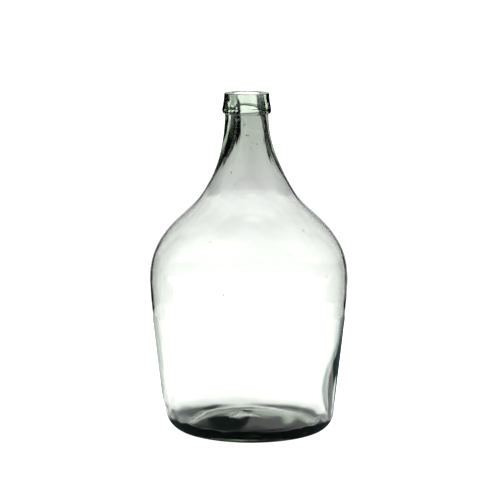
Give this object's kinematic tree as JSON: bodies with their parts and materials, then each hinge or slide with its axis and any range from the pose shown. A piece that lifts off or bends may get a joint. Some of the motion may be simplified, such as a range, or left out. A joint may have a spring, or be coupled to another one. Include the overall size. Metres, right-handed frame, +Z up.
{
  "type": "glass carboy",
  "caption": "Clear greenish blown-glass carboy with a tapered body, long sloping shoulder, kicked-up base and a wound ring of glass at the open mouth.",
  "frame": {"origin": "centre of the standing face, on the bottle's axis, at the surface it stands on", "axes": "+Z up the bottle's axis, out of the mouth; the bottle is round about Z, so X and Y are free, and the front view looks along +Y"},
  "size_m": [0.25, 0.25, 0.426],
  "materials": {
    "vessel_glass": "clear, slightly wavy, greenish",
    "lip_ring_glass": "clear, thicker and greener"
  },
  "bodies": {
    "root": {"vessel": "vessel_glass", "lip_ring": "lip_ring_glass"}
  },
  "joints": []
}
